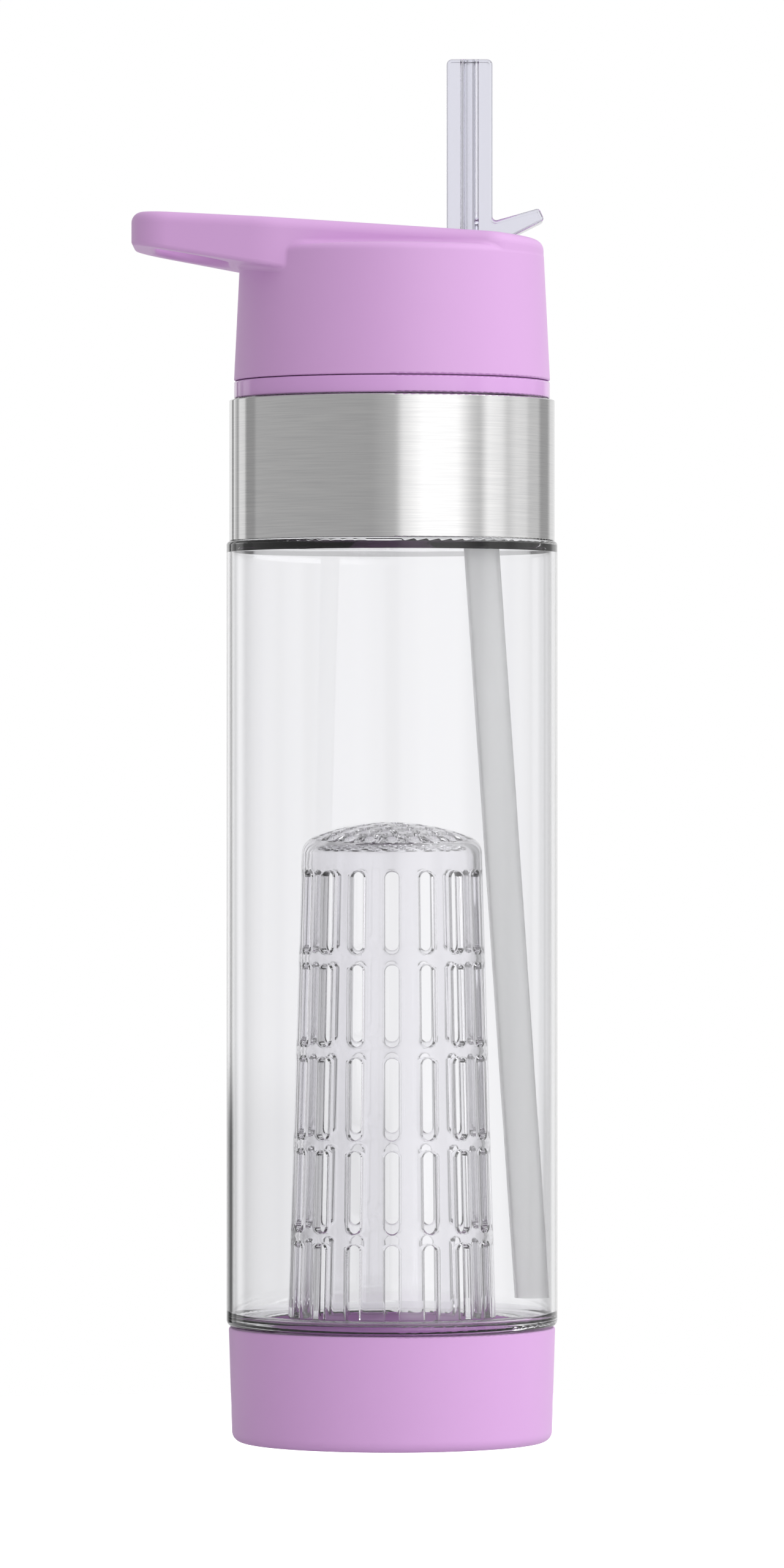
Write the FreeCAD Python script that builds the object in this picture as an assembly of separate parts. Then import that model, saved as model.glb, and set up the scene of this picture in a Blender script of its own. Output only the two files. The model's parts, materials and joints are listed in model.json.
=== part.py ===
"""Fruit infuser water bottle: clear tube, screw base with basket, screw lid with flip spout and straw.

Units are millimetres. The origin is the centre of the base's underside and +Z points up.
The finger loop points to -X, the spout's thumb tab to +X.
"""
import FreeCAD, Part
import math
import os

V = FreeCAD.Vector
UP = V(0, 0, 1)
ACROSS = V(0, 1, 0)
DEPTH = 200.0
SMALL_EDGE = 0.4
NEAR = 0.05

# Bottle tube
TUBE_R = 36.5
TUBE_WALL = 1.3
TUBE_LOW = 25.4
TUBE_TOP = 198.5
TUBE_FLOOR = 2.0
TUBE_CORNER = 1.5
TUBE_EDGE = 0.8
UPPER_BORE_R = 33.9
STEP_LOW = 196.1
STEP_HIGH = 197.7
NECK_R = 30.2
NECK_WALL = 2.0
LOW_NECK_END = 9.0
BAND_SEAT_R = 35.3
SHOULDER_TOP = 229.0
NECK_TOP = 246.0

# Steel band
BAND_WALL = 0.55
BAND_GAP = 0.05
BAND_TOP = 229.6
BAND_EDGE = 0.25

# Base cup and its liner
CUP_FOOT_R = 35.25
CUP_RIM_R = 36.0
CUP_TOP = 25.2
CUP_FLOOR = 2.4
CUP_BORE_R = 33.8
CUP_EDGE = 2.3
LINER_R = 33.75
LINER_THREAD_R = 31.4
LINER_TOP = 24.9
LINER_GROOVE = 7.0
PEDESTAL_R = 27.9
PEDESTAL_TOP = 26.8
PEDESTAL_WALL = 2.0
SOCKET_INNER_R = 20.7
SOCKET_OUTER_R = 23.5
SOCKET_FLOOR = 22.5
RING_GASKET_HEIGHT = 2.0
RING_GASKET_INNER_R = 28.4
RING_GASKET_OUTER_R = 30.6

# Infuser basket
BASKET_FOOT_R = 23.05
BASKET_SHOULDER_R = 19.85
BASKET_SHOULDER = 131.2
BASKET_WALL = 1.9
DOME_TOP = 136.55
DOME_SPHERE_R = 49.0
DOME_EDGE = 4.0
HOLLOW_EDGE = 2.3
SLOT_COLUMNS = 16
SLOT_ROWS = 5
SLOT_WIDTH = 3.0
SLOT_LENGTH = 17.9
SLOT_PITCH = 20.37
SLOT_TOP = 125.8
STRAINER_HOLE_R = 1.35
STRAINER_RING_PITCH = 3.8
STRAINER_RINGS = 4
HOLES_PER_RING = 5

# Straw, straight and tilted in the XZ plane
STRAW_R = 3.9
STRAW_WALL = 0.65
STRAW_TIP_X = 31.0
STRAW_TIP_Z = 31.7
STRAW_SLOPE = 0.068
STRAW_TOP_Z = 244.8

# Lid insert
COLLAR_R = 34.85
COLLAR_LOW = 229.9
COLLAR_TOP = 233.7
INSERT_R = 32.6
INSERT_THREAD_R = 31.2
DECK_LOW = 248.0
DECK_TOP = 250.5
STRAW_SOCKET_R = 6.0
STRAW_SOCKET_LOW_Z = 231.0
STRAW_FIT = 0.05
FLOW_HOLE_R = 2.2
SEAL_RING_R = 6.2
SEAL_RING_HEIGHT = 2.0

# Lid cover
COVER_LOW = 233.9
COVER_FOOT_R = 34.87
COVER_RIM_R = 33.45
COVER_TOP = 262.7
COVER_RIM_EDGE = 1.8
COVER_BORE_R = 32.9
COVER_LEDGE_R = 31.0
COVER_CEILING = 254.0
CORE_TOP = 259.8
CORE_R = 30.2
CORE_RIB_HALF = 9.0

# Plate across the cover and the finger loop
PLATE_HALF = 24.5
PLATE_BEND_X = -28.0
LOOP_TIP_X = -57.2
LOOP_TIP_HALF = 18.0
LOOP_CORNER = 10.0
LOOP_EDGE = 2.4
LOOP_LOW_EDGE = 1.0
PLATE_BEND_R = 25.0
PLATE_TOP_X = 18.75
PLATE_TOP_Z = 265.8
PLATE_SLOPE = 0.064
PLATE_END_R = 33.45
PLATE_END_CORNER = 6.0
UNDERSIDE_X = -24.0
UNDERSIDE_Z = 257.4
UNDERSIDE_SLOPE = 0.175
FINGER_LEFT_X = -52.3
FINGER_RIGHT_X = -36.2
FINGER_HALF = 15.2
FINGER_CORNER = 6.5
FINGER_EDGE = 1.0
PLATE_BLEND = 1.2

# Spout, its pivot and the channel that it folds into
PIVOT_X = 17.1
PIVOT_Z = 262.0
SPOUT_HALF = 5.05
SPOUT_DEPTH_HALF = 4.75
SPOUT_TOP = 304.6
SPOUT_CORNER = 1.2
SPOUT_EDGE = 0.7
SPOUT_BORE_R = 2.1
TAB_ROOT_Z = 268.9
TAB_TIP_TOP = (32.4, 271.8)
TAB_TIP_LOW = (33.6, 269.2)
TAB_UNDER_START = (20.6, 262.64)
TAB_CORNER = 0.8
TRUNNION_R = 2.0
TRUNNION_FIT = 0.06
TRUNNION_END = 7.6
TRUNNION_END_GAP = 0.4
CHANNEL_HALF = 5.25
CHANNEL_FLOOR = 256.4
CHANNEL_LEFT_X = -26.4
CHANNEL_RIGHT_X = 23.2
CHANNEL_TAB_X = 29.0
CHANNEL_TAB_GAP = 0.7
SEAL_R = 4.5
SEAL_BORE_R = 2.1
SEAL_HOLE_R = 4.8
SEAL_GAP = 0.3

# Vent valve
VENT_X = -12.0
VENT_HOLE_R = 1.6
VENT_STEM_R = 1.5
VENT_CAP_R = 4.0
VENT_CAP_HEIGHT = 1.0
VENT_BULB_R = 2.3
VENT_BULB_HEIGHT = 1.8
VENT_OUTLET_R = 1.1


def rounded_wire(corners, place):
    """Closed wire through corners (a, b, radius), each rounded by an arc; place maps a, b to a point."""
    starts = []
    ends = []
    middles = []
    count = len(corners)
    for index, (a, b, radius) in enumerate(corners):
        here = V(a, b, 0)
        before = V(*corners[index - 1][:2], 0)
        after = V(*corners[(index + 1) % count][:2], 0)
        back = (before - here).normalize()
        ahead = (after - here).normalize()
        half_angle = back.getAngle(ahead) / 2
        reach = radius / math.tan(half_angle)
        inward = (back + ahead).normalize() if radius else V()
        starts.append(here + back * reach)
        ends.append(here + ahead * reach)
        middles.append(here + inward * (radius / math.sin(half_angle) - radius))
    edges = []
    for index in range(count):
        following = (index + 1) % count
        if corners[index][2]:
            arc_points = [place(p.x, p.y) for p in (starts[index], middles[index], ends[index])]
            edges.append(Part.Arc(*arc_points).toShape())
        run = [place(p.x, p.y) for p in (ends[index], starts[following])]
        edges.append(Part.LineSegment(*run).toShape())
    return Part.Wire(edges)


def side_point(x, z):
    """Point of the XZ plane."""
    return V(x, 0, z)


def plan_point(x, y):
    """Point of the XY plane."""
    return V(x, y, 0)


def turned(corners):
    """Solid of revolution about Z from a profile of (radius, height, rounding) corners."""
    face = Part.Face(rounded_wire(corners, side_point))
    return face.revolve(V(), UP, 360)


def side_prism(corners, half_depth):
    """Prism along Y, centred on Y = 0, from a side profile of (x, z, rounding) corners."""
    face = Part.Face(rounded_wire(corners, side_point))
    face.translate(V(0, -half_depth, 0))
    return face.extrude(ACROSS * (2 * half_depth))


def plan_prism(corners, low, high):
    """Prism along Z from a plan outline of (x, y, rounding) corners."""
    face = Part.Face(rounded_wire(corners, plan_point))
    face.translate(UP * low)
    return face.extrude(UP * (high - low))


def ring(inner_r, outer_r, low, high):
    """Flat ring about Z."""
    return turned([(inner_r, low, 0), (outer_r, low, 0), (outer_r, high, 0), (inner_r, high, 0)])


def straw_point(z):
    """Point of the straw's centre line at height z."""
    return V(STRAW_TIP_X - (z - STRAW_TIP_Z) * STRAW_SLOPE, 0, z)


def straw_rod(radius, low_z, high_z):
    """Round rod on the straw's centre line between two heights."""
    low = straw_point(low_z)
    run = straw_point(high_z) - low
    return Part.makeCylinder(radius, run.Length, low, run)


def plate_top(x):
    """Height of the sloping plate's top above x."""
    return PLATE_TOP_Z + (PLATE_TOP_X - x) * PLATE_SLOPE


def loop_underside(x):
    """Height of the finger loop's underside above x."""
    return UNDERSIDE_Z + (UNDERSIDE_X - x) * UNDERSIDE_SLOPE


def bottle_tube():
    """Clear tube: body, shoulder under the band, and a plain neck for the thread at each end."""
    bore = TUBE_R - TUBE_WALL
    neck_bore = NECK_R - NECK_WALL
    floor_top = TUBE_LOW + TUBE_FLOOR
    return turned([
        (neck_bore, LOW_NECK_END, 0), (NECK_R, LOW_NECK_END, 0), (NECK_R, TUBE_LOW, 0),
        (TUBE_R, TUBE_LOW, TUBE_CORNER), (TUBE_R, TUBE_TOP, TUBE_EDGE), (BAND_SEAT_R, TUBE_TOP, 0),
        (BAND_SEAT_R, SHOULDER_TOP, TUBE_EDGE), (NECK_R, SHOULDER_TOP, 0), (NECK_R, NECK_TOP, 0),
        (neck_bore, NECK_TOP, 0), (neck_bore, SHOULDER_TOP - TUBE_FLOOR, 0),
        (UPPER_BORE_R, SHOULDER_TOP - TUBE_FLOOR, TUBE_CORNER), (UPPER_BORE_R, STEP_HIGH, 0),
        (bore, STEP_LOW, 0), (bore, floor_top, TUBE_CORNER), (neck_bore, floor_top, TUBE_EDGE)])


def steel_band():
    """Thin steel ring standing on the tube's step."""
    inner = BAND_SEAT_R + BAND_GAP
    outer = inner + BAND_WALL
    return turned([
        (inner, TUBE_TOP, 0), (outer, TUBE_TOP, BAND_EDGE),
        (outer, BAND_TOP, BAND_EDGE), (inner, BAND_TOP, 0)])


def base_cup():
    """Outer cup of the base, slightly wider at its rim, flat underneath."""
    return turned([
        (0, 0, 0), (CUP_FOOT_R, 0, CUP_EDGE), (CUP_RIM_R, CUP_TOP, SMALL_EDGE),
        (CUP_BORE_R, CUP_TOP, 0), (CUP_BORE_R, CUP_FLOOR, 0), (0, CUP_FLOOR, 0)])


def base_insert():
    """Liner of the base: thread wall, gasket groove and the raised floor with the basket's socket."""
    hollow_r = PEDESTAL_R - PEDESTAL_WALL
    hollow_top = SOCKET_FLOOR - PEDESTAL_WALL
    core_r = SOCKET_INNER_R - PEDESTAL_WALL
    core_top = PEDESTAL_TOP - PEDESTAL_WALL
    return turned([
        (0, core_top, 0), (core_r, core_top, 0), (core_r, hollow_top, 0), (hollow_r, hollow_top, 0),
        (hollow_r, CUP_FLOOR, 0), (LINER_R, CUP_FLOOR, 0), (LINER_R, LINER_TOP, 0),
        (LINER_THREAD_R, LINER_TOP, 0), (LINER_THREAD_R, LINER_GROOVE, 0), (PEDESTAL_R, LINER_GROOVE, 0),
        (PEDESTAL_R, PEDESTAL_TOP, SMALL_EDGE), (SOCKET_OUTER_R, PEDESTAL_TOP, SMALL_EDGE),
        (SOCKET_OUTER_R, SOCKET_FLOOR, 0), (SOCKET_INNER_R, SOCKET_FLOOR, 0),
        (SOCKET_INNER_R, PEDESTAL_TOP, SMALL_EDGE), (0, PEDESTAL_TOP, 0)])


def neck_gasket(low):
    """Silicone ring that seals a neck, standing on height low."""
    return ring(RING_GASKET_INNER_R, RING_GASKET_OUTER_R, low, low + RING_GASKET_HEIGHT)


def basket_form(inset, edge):
    """Tapered round form with a domed end: the basket's outside or, set in by its wall, its hollow."""
    slope = (BASKET_FOOT_R - BASKET_SHOULDER_R) / (BASKET_SHOULDER - SOCKET_FLOOR)
    foot_r = BASKET_FOOT_R - inset
    top_r = foot_r - slope * (DOME_TOP - SOCKET_FLOOR)
    cone = turned([(0, SOCKET_FLOOR, 0), (foot_r, SOCKET_FLOOR, 0), (top_r, DOME_TOP, 0), (0, DOME_TOP, 0)])
    middle = DOME_TOP - DOME_SPHERE_R
    sphere = Part.makeSphere(DOME_SPHERE_R - inset, V(0, 0, middle))
    below = Part.makeCylinder(2 * TUBE_R, middle - SOCKET_FLOOR, V(0, 0, SOCKET_FLOOR))
    form = cone.common(sphere.fuse(below)).Solids[0]
    rim = [edge_line for edge_line in form.Edges if is_dome_rim(edge_line.BoundBox)]
    return form.makeFillet(edge, rim)


def is_dome_rim(box):
    """True for the box of the circle where the basket's wall meets its dome."""
    flat_and_wide = box.ZLength < NEAR and box.XLength > BASKET_SHOULDER_R
    return flat_and_wide and box.ZMin > SLOT_TOP


def slot_cutter(top, turn):
    """Round-ended bar right through the basket, which cuts two opposite slots of one row."""
    half = SLOT_WIDTH / 2
    low = top - SLOT_LENGTH
    end_r = half - NEAR / 10
    bar = plan_prism([
        (-half, low, end_r), (half, low, end_r), (half, top, end_r), (-half, top, end_r)], -DEPTH, DEPTH)
    bar.rotate(V(), V(1, 0, 0), 90)
    bar.rotate(V(), UP, turn)
    return bar


def strainer_holes():
    """Upright holes through the domed end, in rings about a centre hole."""
    holes = []
    for ring_index in range(STRAINER_RINGS + 1):
        count = max(1, HOLES_PER_RING * ring_index)
        for step in range(count):
            angle = 2 * math.pi * step / count
            reach = STRAINER_RING_PITCH * ring_index
            foot = V(reach * math.cos(angle), reach * math.sin(angle), SLOT_TOP)
            holes.append(Part.makeCylinder(STRAINER_HOLE_R, DOME_TOP - SLOT_TOP + 1, foot))
    return holes


def infuser_basket():
    """Clear basket: rows of upright slots round the wall and a perforated dome."""
    cutters = [basket_form(BASKET_WALL, HOLLOW_EDGE)]
    cutters.extend(strainer_holes())
    for row in range(SLOT_ROWS):
        for column in range(SLOT_COLUMNS // 2):
            cutters.append(slot_cutter(SLOT_TOP - row * SLOT_PITCH, column * 360 / SLOT_COLUMNS))
    return basket_form(0, DOME_EDGE).cut(cutters)


def straw():
    """Straight tilted straw, cut level at its foot and square at its top."""
    outer = straw_rod(STRAW_R, STRAW_TIP_Z - STRAW_R, STRAW_TOP_Z)
    bore = straw_rod(STRAW_R - STRAW_WALL, STRAW_TIP_Z - 2 * STRAW_R, STRAW_TOP_Z + 1)
    below = Part.makeBox(2 * DEPTH, 2 * DEPTH, STRAW_TIP_Z, V(-DEPTH, -DEPTH, 0))
    return outer.cut([bore, below])


def lid_insert():
    """Threaded lid insert: collar, skirt, deck, straw socket and the ring that holds the spout's seal."""
    shell = turned([
        (0, DECK_LOW, 0), (INSERT_THREAD_R, DECK_LOW, 0), (INSERT_THREAD_R, COLLAR_LOW, 0),
        (COLLAR_R, COLLAR_LOW, SMALL_EDGE), (COLLAR_R, COLLAR_TOP, SMALL_EDGE), (INSERT_R, COLLAR_TOP, 0),
        (INSERT_R, DECK_TOP, 0), (0, DECK_TOP, 0)])
    socket = straw_rod(STRAW_SOCKET_R, STRAW_SOCKET_LOW_Z, DECK_TOP - 1)
    seal_ring = Part.makeCylinder(SEAL_RING_R, SEAL_RING_HEIGHT, V(PIVOT_X, 0, DECK_TOP))
    seal_room = Part.makeCylinder(SEAL_HOLE_R, SEAL_RING_HEIGHT, V(PIVOT_X, 0, DECK_TOP))
    straw_room = straw_rod(STRAW_R + STRAW_FIT, STRAW_SOCKET_LOW_Z - 1, STRAW_TOP_Z)
    flow_hole = Part.makeCylinder(FLOW_HOLE_R, DECK_TOP - STRAW_TOP_Z + 2, V(PIVOT_X, 0, STRAW_TOP_Z - 1))
    vent_hole = Part.makeCylinder(VENT_HOLE_R, DECK_TOP - DECK_LOW, V(VENT_X, 0, DECK_LOW))
    return shell.fuse([socket, seal_ring]).cut([seal_room, straw_room, flow_hole, vent_hole])


def loop_plate():
    """Sloping plate across the lid that runs out into the finger loop, with its edges rounded."""
    side = side_prism([
        (LOOP_TIP_X, plate_top(LOOP_TIP_X), 0), (PLATE_END_R, plate_top(PLATE_END_R), 0),
        (PLATE_END_R, COVER_CEILING + 3, 0), (UNDERSIDE_X + 4, COVER_CEILING + 3, 0),
        (UNDERSIDE_X + 4, loop_underside(UNDERSIDE_X + 4), 0),
        (LOOP_TIP_X, loop_underside(LOOP_TIP_X), 0)], DEPTH)
    plan = plan_prism([
        (LOOP_TIP_X, LOOP_TIP_HALF, LOOP_CORNER), (LOOP_TIP_X, -LOOP_TIP_HALF, LOOP_CORNER),
        (PLATE_BEND_X, -PLATE_HALF, PLATE_BEND_R), (TUBE_R, -PLATE_HALF, 0),
        (TUBE_R, PLATE_HALF, 0), (PLATE_BEND_X, PLATE_HALF, PLATE_BEND_R)], 0, 2 * DEPTH)
    drum = Part.makeCylinder(PLATE_END_R, 2 * DEPTH)
    beyond = Part.makeBox(DEPTH, 2 * DEPTH, 2 * DEPTH, V(-DEPTH, -DEPTH, 0))
    plate = side.common(plan).common(drum.fuse(beyond)).Solids[0]
    end_corners = [edge for edge in plate.Edges if is_upright(edge) and edge.BoundBox.XMin > 0]
    plate = plate.makeFillet(PLATE_END_CORNER, end_corners).Solids[0]
    plate = plate.makeFillet(LOOP_EDGE, [edge for edge in plate.Edges if is_top_rim(edge)]).Solids[0]
    return plate.makeFillet(LOOP_LOW_EDGE, [edge for edge in plate.Edges if is_low_rim(edge)]).Solids[0]


def is_upright(edge):
    """True for an edge that runs along Z."""
    box = edge.BoundBox
    return math.hypot(box.XLength, box.YLength) < NEAR


def is_top_rim(edge):
    """True for an edge round the plate's sloping top."""
    middle = edge.valueAt((edge.FirstParameter + edge.LastParameter) / 2)
    return abs(middle.z - plate_top(middle.x)) < NEAR


def is_low_rim(edge):
    """True for an edge round the finger loop's underside, outside the cover."""
    middle = edge.valueAt((edge.FirstParameter + edge.LastParameter) / 2)
    return abs(middle.z - loop_underside(middle.x)) < NEAR and middle.x < UNDERSIDE_X


def finger_loop():
    """The plate with its finger hole, whose edges are rounded for the hand."""
    hole = plan_prism([
        (FINGER_LEFT_X, FINGER_HALF, FINGER_CORNER), (FINGER_LEFT_X, -FINGER_HALF, FINGER_CORNER),
        (FINGER_RIGHT_X, -FINGER_HALF, FINGER_CORNER), (FINGER_RIGHT_X, FINGER_HALF, FINGER_CORNER)],
        0, 2 * DEPTH)
    plate = loop_plate().cut(hole).Solids[0]
    room = hole.BoundBox
    room.enlarge(NEAR)
    rims = [edge for edge in plate.Edges if not is_upright(edge) and room.isInside(edge.BoundBox)]
    return plate.makeFillet(FINGER_EDGE, rims).Solids[0]


def is_wall_joint(edge):
    """True for the curve where the loop's underside runs into the cover's tapered wall."""
    middle = edge.valueAt((edge.FirstParameter + edge.LastParameter) / 2)
    taper = (COVER_FOOT_R - COVER_RIM_R) / (COVER_TOP - COVER_LOW)
    wall_r = COVER_FOOT_R - taper * (middle.z - COVER_LOW)
    off_wall = abs(math.hypot(middle.x, middle.y) - wall_r)
    return off_wall < NEAR and middle.x < UNDERSIDE_X and abs(middle.y) < PLATE_HALF


def channel_cutter():
    """Trough in the plate for the folded spout, with a ramp at its end for the thumb tab's root."""
    rise = (TAB_TIP_LOW[1] - TAB_UNDER_START[1]) / (TAB_TIP_LOW[0] - TAB_UNDER_START[0])
    ramp_start = TAB_UNDER_START[1] - CHANNEL_TAB_GAP + rise * (CHANNEL_RIGHT_X - TAB_UNDER_START[0])
    ramp_end = ramp_start + rise * (CHANNEL_TAB_X - CHANNEL_RIGHT_X)
    return side_prism([
        (CHANNEL_LEFT_X, SPOUT_TOP, 0), (CHANNEL_LEFT_X, CHANNEL_FLOOR, 1.5),
        (CHANNEL_RIGHT_X, CHANNEL_FLOOR, SPOUT_HALF), (CHANNEL_RIGHT_X, ramp_start, 0),
        (CHANNEL_TAB_X, ramp_end, 0), (CHANNEL_TAB_X, SPOUT_TOP, 0)], CHANNEL_HALF)


def cover_hollow():
    """Room inside the cover: bore over the insert, ledge on its deck, and a core each side of the channel."""
    bore = turned([
        (0, 0, 0), (COVER_BORE_R, 0, 0), (COVER_BORE_R, DECK_TOP, 0), (COVER_LEDGE_R, DECK_TOP, 0),
        (COVER_LEDGE_R, COVER_CEILING, 0), (0, COVER_CEILING, 0)])
    core = Part.makeCylinder(CORE_R, CORE_TOP - COVER_CEILING + 1, V(0, 0, COVER_CEILING - 1))
    rib = Part.makeBox(2 * DEPTH, 2 * CORE_RIB_HALF, 2 * DEPTH, V(-DEPTH, -CORE_RIB_HALF, 0))
    return bore.fuse(core.cut(rib))


def lid_cover():
    """Matte cover: tapered wall, sloping plate with the finger loop, spout channel and trunnion holes."""
    wall = turned([
        (0, COVER_LOW, 0), (COVER_FOOT_R, COVER_LOW, SMALL_EDGE),
        (COVER_RIM_R, COVER_TOP, COVER_RIM_EDGE), (0, COVER_TOP, 0)])
    body = wall.fuse(finger_loop()).removeSplitter().Solids[0]
    body = body.makeFillet(PLATE_BLEND, [edge for edge in body.Edges if is_wall_joint(edge)])
    trunnion_reach = TRUNNION_END + TRUNNION_END_GAP
    trunnion_hole = Part.makeCylinder(
        TRUNNION_R + TRUNNION_FIT, 2 * trunnion_reach, V(PIVOT_X, -trunnion_reach, PIVOT_Z), ACROSS)
    seal_hole = Part.makeCylinder(SEAL_HOLE_R, CHANNEL_FLOOR - DECK_TOP + 3, V(PIVOT_X, 0, DECK_TOP))
    vent_outlet = Part.makeCylinder(VENT_OUTLET_R, CHANNEL_FLOOR - DECK_TOP + 1, V(VENT_X, 0, DECK_TOP))
    return body.cut([cover_hollow(), channel_cutter(), trunnion_hole, seal_hole, vent_outlet])


def is_spout_outline(box):
    """True for the box of an edge of the stem's or tab's flat sides, above the barrel."""
    return box.YLength < NEAR and box.ZMax > PIVOT_Z + SPOUT_EDGE


def spout():
    """Clear flip spout: flat-sided stem, thumb tab, round barrel with a trunnion each side, drinking bore."""
    stem = side_prism([
        (PIVOT_X - SPOUT_HALF, PIVOT_Z, 0), (PIVOT_X - SPOUT_HALF, SPOUT_TOP, SPOUT_CORNER),
        (PIVOT_X + SPOUT_HALF, SPOUT_TOP, SPOUT_CORNER), (PIVOT_X + SPOUT_HALF, TAB_ROOT_Z, TAB_CORNER),
        (*TAB_TIP_TOP, TAB_CORNER), (*TAB_TIP_LOW, TAB_CORNER), (*TAB_UNDER_START, 0)], SPOUT_DEPTH_HALF)
    outline = [edge for edge in stem.Edges if is_spout_outline(edge.BoundBox)]
    stem = stem.makeFillet(SPOUT_EDGE, outline)
    barrel_start = V(PIVOT_X, -SPOUT_DEPTH_HALF, PIVOT_Z)
    barrel = Part.makeCylinder(SPOUT_HALF, 2 * SPOUT_DEPTH_HALF, barrel_start, ACROSS)
    trunnions = Part.makeCylinder(TRUNNION_R, 2 * TRUNNION_END, V(PIVOT_X, -TRUNNION_END, PIVOT_Z), ACROSS)
    bore = Part.makeCylinder(SPOUT_BORE_R, DEPTH, V(PIVOT_X, 0, PIVOT_Z - 2 * SPOUT_HALF))
    return stem.fuse([barrel, trunnions]).cut(bore).removeSplitter()


def spout_seal():
    """Silicone sleeve that stands in the insert's ring and reaches up to the spout's barrel."""
    sleeve = ring(SEAL_BORE_R, SEAL_R, DECK_TOP, PIVOT_Z - SPOUT_HALF - SEAL_GAP)
    sleeve.translate(V(PIVOT_X, 0, 0))
    return sleeve


def vent_valve():
    """Silicone vent: cap on the deck, stem through it and a bulb below that holds it."""
    bulb_low = DECK_LOW - VENT_BULB_HEIGHT
    cap_top = DECK_TOP + VENT_CAP_HEIGHT
    valve = turned([
        (0, bulb_low, 0), (VENT_STEM_R, bulb_low, 0), (VENT_BULB_R, DECK_LOW, 0), (VENT_STEM_R, DECK_LOW, 0),
        (VENT_STEM_R, DECK_TOP, 0), (VENT_CAP_R, DECK_TOP, 0), (VENT_CAP_R, cap_top, SMALL_EDGE),
        (0, cap_top, 0)])
    valve.translate(V(VENT_X, 0, 0))
    return valve


def main():
    """Build every piece and write one file each."""
    os.makedirs("parts", exist_ok=True)
    pieces = {
        "base_cup": base_cup(),
        "base_insert": base_insert(),
        "base_gasket": neck_gasket(LINER_GROOVE),
        "infuser_basket": infuser_basket(),
        "bottle_tube": bottle_tube(),
        "steel_band": steel_band(),
        "lid_insert": lid_insert(),
        "lid_gasket": neck_gasket(NECK_TOP),
        "lid_cover": lid_cover(),
        "vent_valve": vent_valve(),
        "spout": spout(),
        "spout_seal": spout_seal(),
        "straw": straw(),
    }
    for name, shape in pieces.items():
        print(name, "valid" if shape.isValid() else "INVALID", len(shape.Solids), "solids",
              round(shape.Volume / 1000, 2), "cm3")
        shape.exportStep(f"parts/{name}.step")


main()
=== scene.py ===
"""Looks of the fruit infuser water bottle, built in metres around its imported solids.

+Z is up, the finger loop points to -X and the spout's thumb tab to +X, as in the solids.
"""
import json
import logging
import math
from collections.abc import Iterable
from dataclasses import dataclass
from enum import Enum
from typing import Any, Optional, Union

import bmesh
import bpy
from mathutils import Matrix, Vector


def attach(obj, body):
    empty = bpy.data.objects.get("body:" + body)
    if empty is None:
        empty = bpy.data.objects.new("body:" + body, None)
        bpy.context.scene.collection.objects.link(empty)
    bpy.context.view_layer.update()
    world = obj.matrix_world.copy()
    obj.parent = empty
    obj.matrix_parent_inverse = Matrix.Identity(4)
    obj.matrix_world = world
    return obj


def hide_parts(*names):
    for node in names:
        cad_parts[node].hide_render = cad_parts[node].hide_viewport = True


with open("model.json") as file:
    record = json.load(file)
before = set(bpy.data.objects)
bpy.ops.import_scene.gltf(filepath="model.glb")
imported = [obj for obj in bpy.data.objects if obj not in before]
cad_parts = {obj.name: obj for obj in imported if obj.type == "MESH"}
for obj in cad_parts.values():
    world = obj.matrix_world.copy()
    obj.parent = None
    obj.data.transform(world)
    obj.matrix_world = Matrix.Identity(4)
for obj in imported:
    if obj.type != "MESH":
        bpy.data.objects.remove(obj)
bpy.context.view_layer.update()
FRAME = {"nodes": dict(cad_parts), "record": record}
LOG = logging.getLogger("bottle")
FULL_TURN = 2.0 * math.pi

Triple = tuple[float, float, float]
Colour = Triple
Span = tuple[float, float]
Levels = tuple[tuple[float, float], ...]
Value = Union["Signal", float]


class Signal:
    """An output socket whose arithmetic adds Math nodes to its tree."""

    def __init__(self, socket: bpy.types.NodeSocket) -> None:
        """Keep the socket."""
        self.socket = socket

    def _math(self, operation: str, first: Value, second: Value) -> "Signal":
        """Add one Math node.

        Args:
            operation: Blender's name of the operation.
            first: Left operand.
            second: Right operand.

        Returns:
            The node's result.
        """
        tree = self.socket.id_data
        node = tree.nodes.new("ShaderNodeMath")
        node.operation = operation
        for socket, operand in zip(node.inputs, (first, second)):
            if isinstance(operand, Signal):
                tree.links.new(operand.socket, socket)
            else:
                socket.default_value = operand
        return Signal(node.outputs[0])

    def __add__(self, other: Value) -> "Signal":
        """Sum."""
        return self._math("ADD", self, other)

    def __radd__(self, other: Value) -> "Signal":
        """Reflected sum."""
        return self._math("ADD", other, self)

    def __rsub__(self, other: Value) -> "Signal":
        """Reflected difference."""
        return self._math("SUBTRACT", other, self)

    def __mul__(self, other: Value) -> "Signal":
        """Product."""
        return self._math("MULTIPLY", self, other)

    def __rmul__(self, other: Value) -> "Signal":
        """Reflected product."""
        return self._math("MULTIPLY", other, self)

    def turn_from(self, other: "Signal") -> "Signal":
        """Angle of the direction (other, self), in radians."""
        return self._math("ARCTAN2", self, other)


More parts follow.
